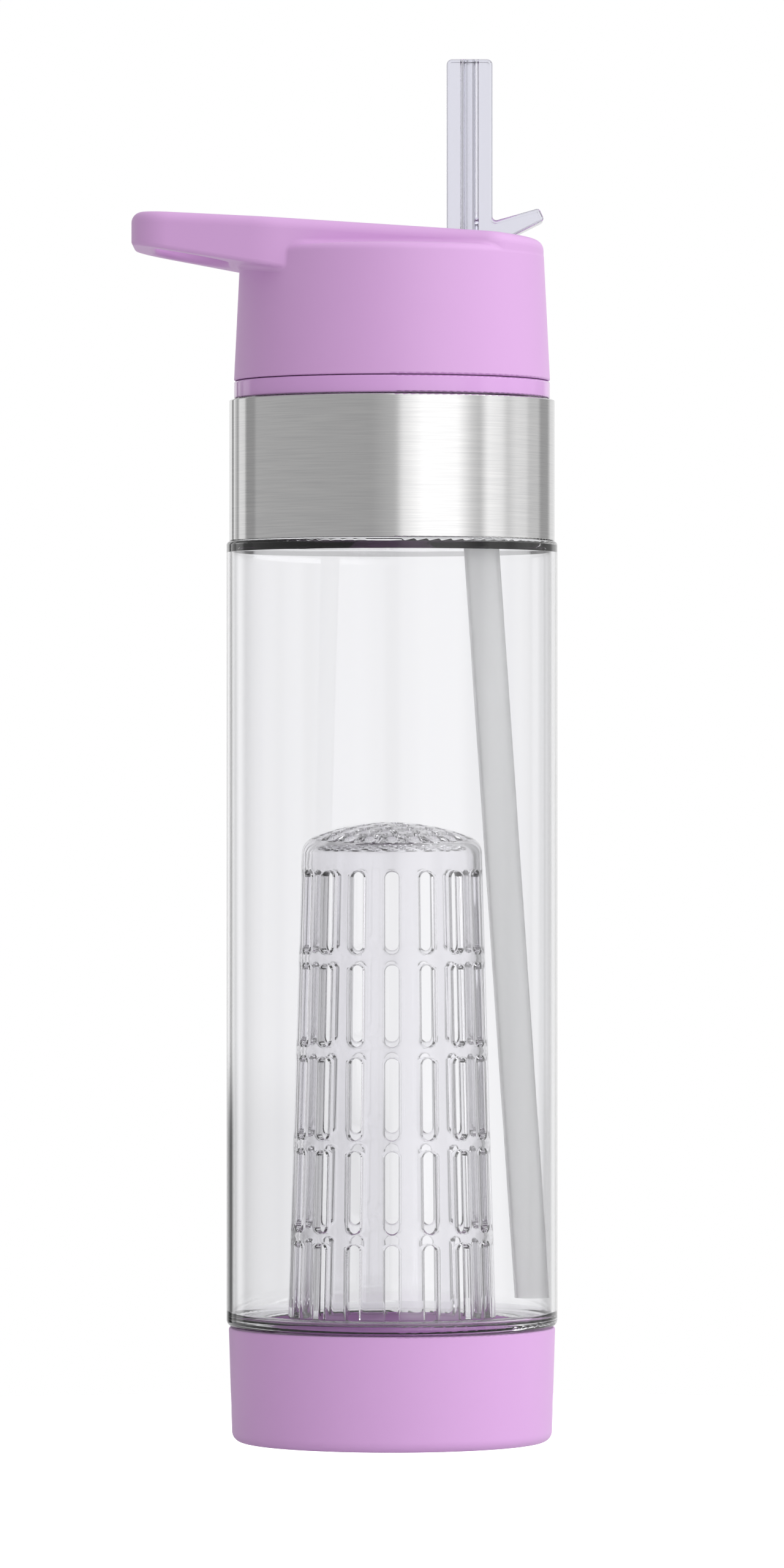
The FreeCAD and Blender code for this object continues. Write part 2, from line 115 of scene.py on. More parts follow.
class NodeBench:
    """Adds nodes to one node tree."""

    def __init__(self, tree: bpy.types.NodeTree) -> None:
        """Clear the tree and keep it."""
        self.tree = tree
        self.tree.nodes.clear()

    def node(self, kind: str, settings: Optional[dict[str, Any]] = None,
             sockets: Optional[dict[Any, Any]] = None) -> bpy.types.Node:
        """Add a node of any kind.

        Args:
            kind: Blender's name of the node type.
            settings: Node properties, set first. "stops" holds a ramp's (position, colour) pairs.
            sockets: Values or Signals of its inputs, by name or index.

        Returns:
            The new node.
        """
        node = self.tree.nodes.new(kind)
        for name, value in (settings or {}).items():
            if name == "stops":
                self._set_stops(node.color_ramp, value)
            else:
                setattr(node, name, value)
        for name, value in (sockets or {}).items():
            if isinstance(value, Signal):
                self.tree.links.new(value.socket, node.inputs[name])
            else:
                node.inputs[name].default_value = value
        return node

    def signal(self, kind: str, output: Union[str, int] = 0,
               settings: Optional[dict[str, Any]] = None,
               sockets: Optional[dict[Any, Any]] = None) -> Signal:
        """Add a node and take one of its outputs.

        Args:
            kind: Blender's name of the node type.
            output: Name or index of the output.
            settings: As for node.
            sockets: As for node.

        Returns:
            The output.
        """
        return Signal(self.node(kind, settings, sockets).outputs[output])

    @staticmethod
    def _set_stops(ramp: bpy.types.ColorRamp, stops: list[tuple[float, Colour]]) -> None:
        """Give a ramp its stops.

        Args:
            ramp: Ramp of a new node, which has two stops.
            stops: Positions with their colours, in rising order.
        """
        while len(ramp.elements) < len(stops):
            ramp.elements.new(1.0)
        for element, (position, colour) in zip(ramp.elements, stops):
            element.position = position
            element.color = (*colour, 1.0)

    def place(self, scale: Triple) -> Signal:
        """Object coordinates stretched by a factor along each axis.

        Args:
            scale: Factors along X, Y and Z.

        Returns:
            The scaled coordinates.
        """
        here = self.signal("ShaderNodeTexCoord", "Object")
        return self.signal("ShaderNodeMapping", sockets={"Vector": here, "Scale": scale})

    def noise(self, scale: Triple, detail: float = 2.0, roughness: float = 0.5) -> Signal:
        """Noise from 0 to 1 on stretched object coordinates.

        Args:
            scale: Grains per metre along X, Y and Z.
            detail: Octaves of finer noise.
            roughness: Strength of the finer octaves.

        Returns:
            The noise.
        """
        return self.signal("ShaderNodeTexNoise", "Fac", sockets={
            "Vector": self.place(scale), "Scale": 1.0, "Detail": detail, "Roughness": roughness})

    def blend(self, factor: Value, first: Union[Signal, Colour],
              second: Union[Signal, Colour]) -> Signal:
        """Mix of two colours.

        Args:
            factor: 0 for the first colour, 1 for the second.
            first: Linear colour.
            second: Linear colour.

        Returns:
            The mixed colour.
        """
        ends = [end if isinstance(end, Signal) else (*end, 1.0) for end in (first, second)]
        return self.signal("ShaderNodeMix", 2, {"data_type": "RGBA"},
                           {0: factor, 6: ends[0], 7: ends[1]})

    def rise(self, value: Signal, span: Span) -> Signal:
        """Smooth step from 0 to 1.

        Args:
            value: What is compared.
            span: Where the step starts and ends.

        Returns:
            The step.
        """
        return self.signal("ShaderNodeMapRange", "Result", {"interpolation_type": "SMOOTHSTEP"},
                           {"Value": value, "From Min": span[0], "From Max": span[1]})

    def bump(self, height: Value, strength: float, distance: float) -> Signal:
        """Normal bent by a height.

        Args:
            height: Height from 0 to 1.
            strength: Share of the effect.
            distance: Depth of the relief in metres.

        Returns:
            The normal.
        """
        return self.signal("ShaderNodeBump", sockets={
            "Height": height, "Strength": strength, "Distance": distance})


def even(value: float) -> Triple:
    """One value three times: a neutral colour, or a scale alike along all axes."""
    return (value, value, value)


def new_surface(name: str) -> tuple[bpy.types.Material, NodeBench]:
    """Start a material.

    Args:
        name: The material's name.

    Returns:
        The material and the bench for its nodes.
    """
    material = bpy.data.materials.new(name)
    material.use_nodes = True
    return material, NodeBench(material.node_tree)


def finish_surface(bench: NodeBench, sockets: dict[str, Any],
                   inside: Optional[dict[str, Any]] = None) -> None:
    """Add the surface shader, the tint of the body under it and the output.

    Args:
        bench: Bench of the material.
        sockets: Values and Signals of the surface shader's sockets.
        inside: Values of the absorption shader's sockets, if the body is tinted in its depth.
    """
    ends = {"Surface": bench.signal("ShaderNodeBsdfPrincipled", "BSDF", sockets=sockets)}
    if inside:
        ends["Volume"] = bench.signal("ShaderNodeVolumeAbsorption", sockets=inside)
    bench.node("ShaderNodeOutputMaterial", sockets=ends)


@dataclass(frozen=True)
class SoftTouch:
    """Matte lilac paint-like plastic with a fine tooth."""

    name: str = "soft_touch_lilac"
    pale: Colour = (0.635, 0.365, 0.675)
    deep: Colour = (0.605, 0.338, 0.645)
    low_gloss: float = 0.47
    high_gloss: float = 0.40
    tooth_per_metre: float = 5200.0
    cloud_per_metre: float = 34.0
    tooth_depth: float = 0.00003
    tooth_strength: float = 0.25
    glint: float = 0.42
    sheen: float = 0.06
    sheen_roughness: float = 0.5

    def material(self) -> bpy.types.Material:
        """Make the finish's nodes.

        Returns:
            The material.
        """
        material, bench = new_surface(self.name)
        cloud = bench.noise(even(self.cloud_per_metre), detail=3.0)
        tooth = bench.noise(even(self.tooth_per_metre), detail=1.0)
        finish_surface(bench, {
            "Base Color": bench.blend(cloud, self.pale, self.deep),
            "Roughness": self.high_gloss + (self.low_gloss - self.high_gloss) * tooth,
            "Normal": bench.bump(tooth, self.tooth_strength, self.tooth_depth),
            "Specular IOR Level": self.glint,
            "Sheen Weight": self.sheen,
            "Sheen Roughness": self.sheen_roughness,
        })
        return material


@dataclass(frozen=True)
class MouldedLilac:
    """Moulded lilac plastic with faint flow marks."""

    name: str
    pale: Colour = (0.645, 0.363, 0.70)
    deep: Colour = (0.602, 0.325, 0.655)
    roughness: float = 0.06
    spread: float = 0.06
    glint: float = 0.5
    flow_per_metre: float = 60.0
    mark_depth: float = 0.00004
    mark_strength: float = 0.15

    def material(self) -> bpy.types.Material:
        """Make the finish's nodes.

        Returns:
            The material.
        """
        material, bench = new_surface(self.name)
        flow = bench.noise(even(self.flow_per_metre), detail=2.0)
        finish_surface(bench, {
            "Base Color": bench.blend(flow, self.pale, self.deep),
            "Roughness": self.roughness + self.spread * flow,
            "Normal": bench.bump(flow, self.mark_strength, self.mark_depth),
            "Specular IOR Level": self.glint,
        })
        return material


@dataclass(frozen=True)
class ClearPlastic:
    """Polished clear plastic with a faint violet tint and long moulding ripples."""

    name: str
    pale: Colour = (0.985, 0.985, 0.992)
    deep: Colour = (0.965, 0.965, 0.982)
    bend: float = 1.52
    shine: float = 0.012
    haze: float = 0.03
    ripple: Triple = (160.0, 160.0, 9.0)
    ripple_depth: float = 0.00002
    ripple_strength: float = 0.3
    clarity: float = 1.0
    depth_tint: Optional[Colour] = None
    tint_per_metre: float = 18.0

    def material(self) -> bpy.types.Material:
        """Make the finish's nodes.

        Returns:
            The material.
        """
        material, bench = new_surface(self.name)
        ripple = bench.noise(self.ripple, detail=2.0)
        inside = None
        if self.depth_tint:
            inside = {"Color": (*self.depth_tint, 1.0), "Density": self.tint_per_metre}
        finish_surface(bench, {
            "Base Color": bench.blend(ripple, self.pale, self.deep),
            "Roughness": self.shine + self.haze * ripple * ripple,
            "Normal": bench.bump(ripple, self.ripple_strength, self.ripple_depth),
            "IOR": self.bend,
            "Transmission Weight": self.clarity,
        }, inside)
        return material


@dataclass(frozen=True)
class FrostedPlastic:
    """Milky translucent plastic drawn into a tube."""

    name: str = "frosted_plastic"
    pale: Colour = (0.99, 0.99, 0.99)
    deep: Colour = (0.97, 0.975, 0.97)
    streak: Triple = (420.0, 420.0, 14.0)
    streak_depth: float = 0.00003
    streak_strength: float = 0.2
    roughness: float = 0.4
    spread: float = 0.12
    bend: float = 1.12
    clarity: float = 0.85

    def material(self) -> bpy.types.Material:
        """Make the finish's nodes.

        Returns:
            The material.
        """
        material, bench = new_surface(self.name)
        streak = bench.noise(self.streak, detail=2.0)
        finish_surface(bench, {
            "Base Color": bench.blend(streak, self.pale, self.deep),
            "Roughness": self.roughness + self.spread * streak,
            "Normal": bench.bump(streak, self.streak_strength, self.streak_depth),
            "IOR": self.bend,
            "Transmission Weight": self.clarity,
        })
        return material


@dataclass(frozen=True)
class BrushedSteel:
    """Steel brushed round the bottle's axis."""

    name: str = "brushed_steel"
    pale: Colour = (0.72, 0.715, 0.71)
    deep: Colour = (0.56, 0.56, 0.565)
    fine: Triple = (55.0, 55.0, 15000.0)
    fine_share: float = 0.4
    broad: Triple = (85.0, 85.0, 4200.0)
    broad_share: float = 0.6
    contrast: Span = (0.15, 0.85)
    roughness: float = 0.04
    spread: float = 0.06
    scratch_depth: float = 0.00002
    scratch_strength: float = 0.2

    def material(self) -> bpy.types.Material:
        """Make the finish's nodes.

        Returns:
            The material.
        """
        material, bench = new_surface(self.name)
        fine = bench.noise(self.fine, detail=3.0, roughness=0.6)
        broad = bench.noise(self.broad, detail=2.0)
        brush = bench.rise(self.fine_share * fine + self.broad_share * broad, self.contrast)
        finish_surface(bench, {
            "Base Color": bench.blend(brush, self.deep, self.pale),
            "Metallic": 1.0,
            "Roughness": self.roughness + self.spread * brush,
            "Normal": bench.bump(brush, self.scratch_strength, self.scratch_depth),
        })
        return material


@dataclass(frozen=True)
class Silicone:
    """Milky soft silicone with a dusty bloom."""

    name: str = "milky_silicone"
    pale: Colour = (0.86, 0.86, 0.87)
    deep: Colour = (0.78, 0.78, 0.80)
    bloom_per_metre: float = 900.0
    bloom_depth: float = 0.00003
    bloom_strength: float = 0.2
    roughness: float = 0.5
    spread: float = 0.2
    clarity: float = 0.15

    def material(self) -> bpy.types.Material:
        """Make the finish's nodes.

        Returns:
            The material.
        """
        material, bench = new_surface(self.name)
        bloom = bench.noise(even(self.bloom_per_metre), detail=3.0)
        finish_surface(bench, {
            "Base Color": bench.blend(bloom, self.pale, self.deep),
            "Roughness": self.roughness + self.spread * bloom,
            "Normal": bench.bump(bloom, self.bloom_strength, self.bloom_depth),
            "Transmission Weight": self.clarity,
        })
        return material


class Slot(Enum):
    """Material slots of the record."""

    LILAC_MATTE = "lilac_matte"
    LILAC_GLOSS = "lilac_gloss"
    CLEAR_TUBE = "clear_tube"
    CLEAR_BASKET = "clear_basket"
    CLEAR_SPOUT = "clear_spout"
    FROSTED_STRAW = "frosted_straw"
    BRUSHED_BAND = "brushed_band"
    SILICONE = "silicone"


class FinishShelf:
    """All finishes of the bottle, one for each slot."""

    def __init__(self) -> None:
        """Make the materials and note each solid's slot."""
        finishes = {
            Slot.LILAC_MATTE: SoftTouch(),
            Slot.LILAC_GLOSS: MouldedLilac("gloss_lilac"),
            Slot.CLEAR_TUBE: ClearPlastic("clear_tube_plastic"),
            Slot.CLEAR_BASKET: ClearPlastic(
                "clear_basket_plastic", (0.95, 0.945, 0.957), (0.92, 0.915, 0.935),
                shine=0.005, haze=0.012, ripple_depth=0.00001),
            Slot.CLEAR_SPOUT: ClearPlastic(
                "clear_spout_plastic", (0.93, 0.93, 0.97), (0.91, 0.91, 0.955),
                shine=0.004, haze=0.008, ripple_depth=0.000003, clarity=0.95,
                depth_tint=(0.28, 0.28, 0.63)),
            Slot.FROSTED_STRAW: FrostedPlastic(),
            Slot.BRUSHED_BAND: BrushedSteel(),
            Slot.SILICONE: Silicone(),
        }
        self.materials = {slot: finish.material() for slot, finish in finishes.items()}
        self.slots = {part["node"]: Slot(part["material_slot"])
                      for part in FRAME["record"]["subparts"]}

    def dress(self, piece: bpy.types.Object, slot: Slot) -> None:
        """Give a piece a slot's finish."""
        put_material(piece, self.materials[slot])

    def dress_solids(self, *names: str) -> None:
        """Give solids of the frame the finishes of their slots.

        Args:
            names: Their nodes.
        """
        for name in names:
            self.dress(FRAME["nodes"][name], self.slots[name])
            LOG.info("%s: dressed in %s", name, self.slots[name].value)


def put_material(piece: bpy.types.Object, material: bpy.types.Material) -> None:
    """Give a piece one material."""
    piece.data.materials.clear()
    piece.data.materials.append(material)


def put_on_ring(verts: Iterable[bmesh.types.BMVert], radius: float, height: float,
                turn: float = 0.0) -> None:
    """Move vertices to a circle about the axis.

    Args:
        verts: Vertices, which keep their direction from the axis.
        radius: Radius of the circle.
        height: Height of the circle.
        turn: Extra angle about the axis, in radians.
    """
    for vert in verts:
        around = math.atan2(vert.co.y, vert.co.x) + turn
        vert.co = Vector((radius * math.cos(around), radius * math.sin(around), height))


def grow_ring(bm: bmesh.types.BMesh, edges: list[bmesh.types.BMEdge], radius: float,
              height: float, turn: float = 0.0) -> list[bmesh.types.BMEdge]:
    """Extrude a closed loop of edges to a new circle about the axis.

    Args:
        bm: The mesh.
        edges: The loop.
        radius: Radius of the new loop.
        height: Height of the new loop.
        turn: Extra angle about the axis, in radians.

    Returns:
        The new loop's edges.
    """
    grown = bmesh.ops.extrude_edge_only(bm, edges=edges)["geom"]
    verts = set(verts_of(grown))
    put_on_ring(verts, radius, height, turn)
    new_edges = (item for item in grown if isinstance(item, bmesh.types.BMEdge))
    return [edge for edge in new_edges if verts.issuperset(edge.verts)]


def verts_of(geometry: Iterable[Any]) -> list[bmesh.types.BMVert]:
    """The vertices in an operator's result."""
    return [item for item in geometry if isinstance(item, bmesh.types.BMVert)]


def make_piece(bm: bmesh.types.BMesh, name: str, body: str, slot: Slot,
               shelf: FinishShelf) -> bpy.types.Object:
    """Turn a finished bmesh into a smooth piece that rides on a body.

    Args:
        bm: The mesh, freed here.
        name: The piece's name.
        body: Body that it moves with.
        slot: Its finish.
        shelf: The finishes.

    Returns:
        The piece.
    """
    for face in bm.faces:
        face.smooth = True
    mesh = bpy.data.meshes.new(name)
    bm.to_mesh(mesh)
    bm.free()
    piece = bpy.data.objects.new(name, mesh)
    bpy.context.scene.collection.objects.link(piece)
    piece.modifiers.new("even_normals", "WEIGHTED_NORMAL")
    shelf.dress(piece, slot)
    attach(piece, body)
    LOG.info("%s: %d faces on body %s", name, len(mesh.polygons), body)
    return piece


@dataclass
class ScrewThread:
    """Right-handed helical ridge on a round wall, running out into the wall at both ends."""

    name: str
    body: str
    slot: Slot
    wall_radius: float
    height: float
    start: float
    turns: float
    pitch: float = 0.006
    root_half: float = 0.0012
    crest_half: float = 0.0005
    sink: float = 0.0001
    steps_per_turn: int = 96
    run_out: float = math.radians(35.0)

    def build(self, shelf: FinishShelf) -> None:
        """Make the ridge.

        Args:
            shelf: The finishes.
        """
        bm = bmesh.new()
        crest = self.wall_radius + self.height
        root = self.wall_radius - math.copysign(self.sink, self.height)
        corners = ((root, -self.root_half), (crest, -self.crest_half),
                   (crest, self.crest_half), (root, self.root_half))
        section = bmesh.ops.create_circle(bm, segments=len(corners), radius=self.root_half)["verts"]
        for vert, (radius, rise) in zip(section, corners):
            vert.co = Vector((radius, 0.0, self.start + rise))
        steps = round(self.steps_per_turn * self.turns)
        bmesh.ops.spin(bm, geom=bm.verts[:] + bm.edges[:], axis=(0, 0, 1), cent=(0, 0, 0),
                       dvec=(0, 0, self.pitch / self.steps_per_turn),
                       angle=FULL_TURN * self.turns, steps=steps)
        self._run_out(bm, root)
        bmesh.ops.holes_fill(bm, edges=bm.edges)
        bmesh.ops.recalc_face_normals(bm, faces=bm.faces)
        make_piece(bm, self.name, self.body, self.slot, shelf)

    def _run_out(self, bm: bmesh.types.BMesh, root: float) -> None:
        """Let the crest sink into the wall towards both ends.

        Args:
            bm: The ridge.
            root: Radius of the ridge's foot.
        """
        length = self.pitch * self.turns
        slope = self.pitch * self.run_out / FULL_TURN
        for vert in bm.verts:
            along = min(max(vert.co.z - self.start, 0.0), length)
            share = min(1.0, along / slope, (length - along) / slope)
            radius = math.hypot(vert.co.x, vert.co.y)
            put_on_ring([vert], root + (radius - root) * share, vert.co.z)


@dataclass
class Bottle:
    """Clear tube with its steel band and the threads of both necks."""

    neck_radius: float = 0.0302
    thread_height: float = 0.0008
    thread_turns: float = 1.75
    upper_thread: float = 0.2324
    lower_thread: float = 0.0122

    def build(self, shelf: FinishShelf) -> None:
        """Dress the solids and add the threads.

        Args:
            shelf: The finishes.
        """
        shelf.dress_solids("bottle_tube", "steel_band")
        for name, start in (("upper_neck_thread", self.upper_thread),
                            ("lower_neck_thread", self.lower_thread)):
            ScrewThread(name, "bottle", Slot.CLEAR_TUBE, self.neck_radius, self.thread_height,
                        start, self.thread_turns).build(shelf)


@dataclass
class ScrewBase:
    """Lilac cup with its threaded liner and gasket."""

    liner_radius: float = 0.0314
    thread_height: float = 0.0008
    thread_start: float = 0.0152
    thread_turns: float = 1.25
    liner_finish: MouldedLilac = MouldedLilac(
        "satin_lilac", (0.62, 0.265, 0.69), (0.58, 0.24, 0.65),
        roughness=0.5, spread=0.1, glint=0.0)

    def build(self, shelf: FinishShelf) -> None:
        """Dress the solids and add the liner's thread.

        Args:
            shelf: The finishes.
        """
        shelf.dress_solids("base_cup", "base_gasket")
        put_material(FRAME["nodes"]["base_insert"], self.liner_finish.material())
        LOG.info("base_insert: dressed in %s", self.liner_finish.name)
        ScrewThread("base_thread", "base", Slot.LILAC_GLOSS, self.liner_radius, -self.thread_height,
                    self.thread_start, self.thread_turns).build(shelf)


@dataclass
class InfuserBasket:
    """Clear tapered basket: rows of slots, perforated dome and open foot, with rounded rims.

    The shoulder is rounded with the radius fillet outside and hollow_fillet inside. The radius and
    height fields named after those two place the middle of each round.
    """

    foot_radius: float = 0.02305
    foot_height: float = 0.0225
    shoulder_radius: float = 0.01985
    shoulder_height: float = 0.1312
    wall: float = 0.0019
    dome_top: float = 0.13655
    dome_sphere: float = 0.049
    fillet: float = 0.004
    fillet_radius: float = 0.0158939
    fillet_height: float = 0.1296497
    fillet_steps: int = 8
    hollow_fillet: float = 0.0023
    hollow_fillet_radius: float = 0.015699
    hollow_fillet_height: float = 0.129509
    columns: int = 16
    rows: int = 5
    slot_width: float = 0.003
    slot_length: float = 0.0179
    slot_pitch: float = 0.02037
    slot_top: float = 0.1258
    slot_corners: int = 20
    cell_cuts: int = 2
    hole_radius: float = 0.00135
    hole_pitch: float = 0.0038
    hole_rings: int = 4
    holes_per_ring: int = 5
    hole_inset: float = 0.0000675
    steps_per_hole_ring: int = 4
    rim_round: float = 0.0004
    rim_segments: int = 2
    weld: float = 0.000008

    def build(self, shelf: FinishShelf) -> None:
        """Make the basket in place of its plain solid.

        Args:
            shelf: The finishes.
        """
        bm = bmesh.new()
        self._slotted_wall(bm)
        self._ends(bm)
        self._dome(bm)
        bmesh.ops.remove_doubles(bm, verts=bm.verts, dist=self.weld)
        bmesh.ops.recalc_face_normals(bm, faces=bm.faces)
        self._round_rims(bm, self._thicken(bm))
        piece = make_piece(bm, "basket_shell", "basket", Slot.CLEAR_BASKET, shelf)
        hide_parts("infuser_basket")

    @property
    def _taper(self) -> float:
        """Loss of the wall's radius for each unit of height."""
        return (self.foot_radius - self.shoulder_radius) / (self.shoulder_height - self.foot_height)

    def _wall_radius(self, height: float) -> float:
        """Outer radius of the tapered wall at a height."""
        return self.foot_radius - self._taper * (height - self.foot_height)

    @property
    def _points(self) -> int:
        """Number of points of a full circle."""
        return self.columns * (self.slot_corners // 2 - 1)

    @property
    def _step(self) -> float:
        """Angle between neighbouring points of a full circle."""
        return FULL_TURN / self._points

    def _slotted_wall(self, bm: bmesh.types.BMesh) -> None:
        """One column of slots at the front, repeated round the axis.

        Args:
            bm: The mesh that it is added to.
        """
        for row in range(self.rows):
            self._slot_cell(bm, self.slot_top - self.slot_length / 2 - row * self.slot_pitch)
        copies = self.columns - 1
        bmesh.ops.spin(bm, geom=bm.verts[:] + bm.edges[:] + bm.faces[:], axis=(0, 0, 1),
                       cent=(0, 0, 0), angle=FULL_TURN * copies / self.columns, steps=copies,
                       use_duplicate=True)
        bmesh.ops.remove_doubles(bm, verts=bm.verts, dist=self.weld)

    def _slot_cell(self, bm: bmesh.types.BMesh, middle: float) -> None:
        """One slot with the wall round it.

        Args:
            bm: The mesh that it is added to.
            middle: Height of the slot's middle.
        """
        half = self.slot_width / 2
        corner = math.pi / self.slot_corners
        upright = Matrix.Rotation(math.pi / 2, 4, "X") @ Matrix.Rotation(corner, 4, "Z")
        rim = bmesh.ops.create_circle(bm, segments=self.slot_corners, radius=half,
                                      matrix=upright)["verts"]
        bmesh.ops.scale(bm, verts=rim, vec=(1.0 / math.cos(corner), 1.0, 1.0))
        rim_edges = list({edge for vert in rim for edge in vert.link_edges})
        border = verts_of(bmesh.ops.extrude_edge_only(bm, edges=rim_edges)["geom"])
        for side in (1, -1):
            half_border = sorted((vert for vert in border if vert.co.z * side > 0),
                                 key=lambda vert: vert.co.x)
            for rank, vert in enumerate(half_border):
                around = (rank - (len(half_border) - 1) / 2) * self._step
                self._wrap(vert, around, middle + side * self.slot_pitch / 2)
        for vert in rim:
            height = middle + vert.co.z + math.copysign(self.slot_length / 2 - half, vert.co.z)
            self._wrap(vert, math.asin(vert.co.x / self._wall_radius(height)), height)
        spokes = [edge for vert in rim for edge in vert.link_edges
                  if edge.other_vert(vert) not in rim]
        cut = bmesh.ops.subdivide_edges(bm, edges=spokes, cuts=self.cell_cuts, use_grid_fill=True)
        for vert in verts_of(cut["geom_inner"]):
            put_on_ring([vert], self._wall_radius(vert.co.z), vert.co.z)

    def _wrap(self, vert: bmesh.types.BMVert, around: float, height: float) -> None:
        """Put a vertex on the tapered wall, at an angle to the right of the front."""
        radius = self._wall_radius(height)
        vert.co = Vector((radius * math.sin(around), -radius * math.cos(around), height))

    def _ends(self, bm: bmesh.types.BMesh) -> None:
        """Plain wall above and below the slots, and the rounded shoulder.

        Args:
            bm: The slotted wall, whose two ends are open.
        """
        top = self.slot_top + (self.slot_pitch - self.slot_length) / 2
        low = top - self.rows * self.slot_pitch
        grow_ring(bm, self._loop_at(bm, low), self.foot_radius, self.foot_height)
        first = math.atan(self._taper)
        last = math.atan2(self.fillet_height - self._dome_middle, self.fillet_radius)
        loop, turn = self._loop_at(bm, top), self._step / 2
        for index in range(self.fillet_steps + 1):
            lean = first + (last - first) * index / self.fillet_steps
            loop = grow_ring(bm, loop, self.fillet_radius + self.fillet * math.cos(lean),
                             self.fillet_height + self.fillet * math.sin(lean), turn)
            turn = 0.0
        edge = self.hole_pitch * (self.hole_rings + 0.5)
        grow_ring(bm, loop, edge, self._dome_height(edge))

    def _loop_at(self, bm: bmesh.types.BMesh, height: float) -> list[bmesh.types.BMEdge]:
        """Open edges of the wall at a height."""
        return [edge for edge in bm.edges if edge.is_boundary
                and all(abs(vert.co.z - height) < self.weld for vert in edge.verts)]

    @property
    def _dome_middle(self) -> float:
        """Height of the middle of the dome's sphere."""
        return self.dome_top - self.dome_sphere

    def _dome_height(self, radius: float, depth: float = 0.0) -> float:
        """Height of the dome at a distance from the axis, or of the surface at a depth under it."""
        return self._dome_middle + math.sqrt((self.dome_sphere - depth) ** 2 - radius ** 2)

    def _dome(self, bm: bmesh.types.BMesh) -> None:
        """Dome as a disc of rings, whose cells are merged, opened to round holes and lifted.

        Args:
            bm: The mesh that it is added to.
        """
        disc = bmesh.new()
        spoke = bmesh.ops.create_vert(disc, co=(self.hole_pitch / 2, 0, 0))["vert"]
        for _ in range(self.hole_rings * self.steps_per_hole_ring):
            spoke = bmesh.ops.extrude_vert_indiv(disc, verts=spoke)["verts"]
            bmesh.ops.translate(disc, verts=spoke,
                                vec=(self.hole_pitch / self.steps_per_hole_ring, 0, 0))
        bmesh.ops.spin(disc, geom=disc.verts[:] + disc.edges[:], axis=(0, 0, 1), cent=(0, 0, 0),
                       angle=FULL_TURN, steps=self._points, use_merge=True)
        hub = [edge for edge in disc.edges
               if edge.is_boundary and edge.verts[0].co.length < self.hole_pitch]
        bmesh.ops.edgeloop_fill(disc, edges=hub)
        self._open_holes(disc)
        for vert in disc.verts:
            vert.co.z = self._dome_height(math.hypot(vert.co.x, vert.co.y))
        mesh = bpy.data.meshes.new("dome")
        disc.to_mesh(mesh)
        disc.free()
        bm.from_mesh(mesh)
        bpy.data.meshes.remove(mesh)

    def _open_holes(self, disc: bmesh.types.BMesh) -> None:
        """Merge the faces round each hole's place and open a round hole in them.

        Args:
            disc: The flat disc.
        """
        cells: dict[tuple[int, int], list[bmesh.types.BMFace]] = {}
        for face in disc.faces:
            cells.setdefault(self._hole_of(face.calc_center_median()), []).append(face)
        for faces in cells.values():
            bmesh.ops.dissolve_faces(disc, faces=faces)
        plates = disc.faces[:]
        centres = [self._hole_centre(*self._hole_of(face.calc_center_median())) for face in plates]
        bmesh.ops.inset_individual(disc, faces=plates, thickness=self.hole_inset)
        for face, centre in zip(plates, centres):
            for vert in face.verts:
                vert.co = centre + (vert.co - centre).normalized() * self.hole_radius
        bmesh.ops.delete(disc, geom=plates, context="FACES_ONLY")

    def _hole_of(self, place: Vector) -> tuple[int, int]:
        """Find the hole nearest to a place on the disc.

        Args:
            place: The place.

        Returns:
            The hole's ring, counted from the middle, and its number in the ring.
        """
        ring = round(math.hypot(place.x, place.y) / self.hole_pitch)
        count = max(1, ring * self.holes_per_ring)
        return ring, round(math.atan2(place.y, place.x) / FULL_TURN * count) % count

    def _hole_centre(self, ring: int, number: int) -> Vector:
        """Centre of a hole on the flat disc."""
        around = FULL_TURN * number / max(1, ring * self.holes_per_ring)
        return Vector((math.cos(around), math.sin(around), 0.0)) * (ring * self.hole_pitch)

    def _thicken(self, bm: bmesh.types.BMesh) -> list[bmesh.types.BMEdge]:
        """Give the shell its inner surface.

        Args:
            bm: The open outer surface.

        Returns:
            The rims to be rounded: all but those of the dome's holes inside the basket.
        """
        skins = set(bm.faces)
        grown = bmesh.ops.extrude_face_region(bm, geom=bm.edges[:] + bm.faces[:],
                                              use_keep_orig=True)["geom"]
        for vert in verts_of(grown):
            vert.co = self._inside(vert.co)
        skins.update(item for item in grown if isinstance(item, bmesh.types.BMFace))
        bmesh.ops.recalc_face_normals(bm, faces=bm.faces)
        rims = [edge for edge in bm.edges if len(skins.intersection(edge.link_faces)) == 1]
        high = [edge for edge in rims if edge.verts[0].co.z > self.hollow_fillet_height]
        sharp = set(grown).intersection(high)
        return [edge for edge in rims if edge not in sharp]

    def _inside(self, outer: Vector) -> Vector:
        """Find the place on the inner surface behind a place on the outer one.

        Args:
            outer: Place on the wall, the shoulder or the dome.

        Returns:
            The place inside, beside a slot straight behind the outer one.
        """
        radius = math.hypot(outer.x, outer.y)
        around = math.atan2(outer.x, -outer.y)
        if outer.z < self.fillet_height:
            column = FULL_TURN / self.columns
            middle = column * round(around / column)
            across = radius * math.sin(around - middle)
            radius, height = radius - self.wall, outer.z
            if abs(across) < self.slot_width / 2 + self.weld:
                around = middle + math.asin(across / radius)
        else:
            radius, height = self._under_dome(radius)
        return Vector((radius * math.sin(around), -radius * math.cos(around), height))

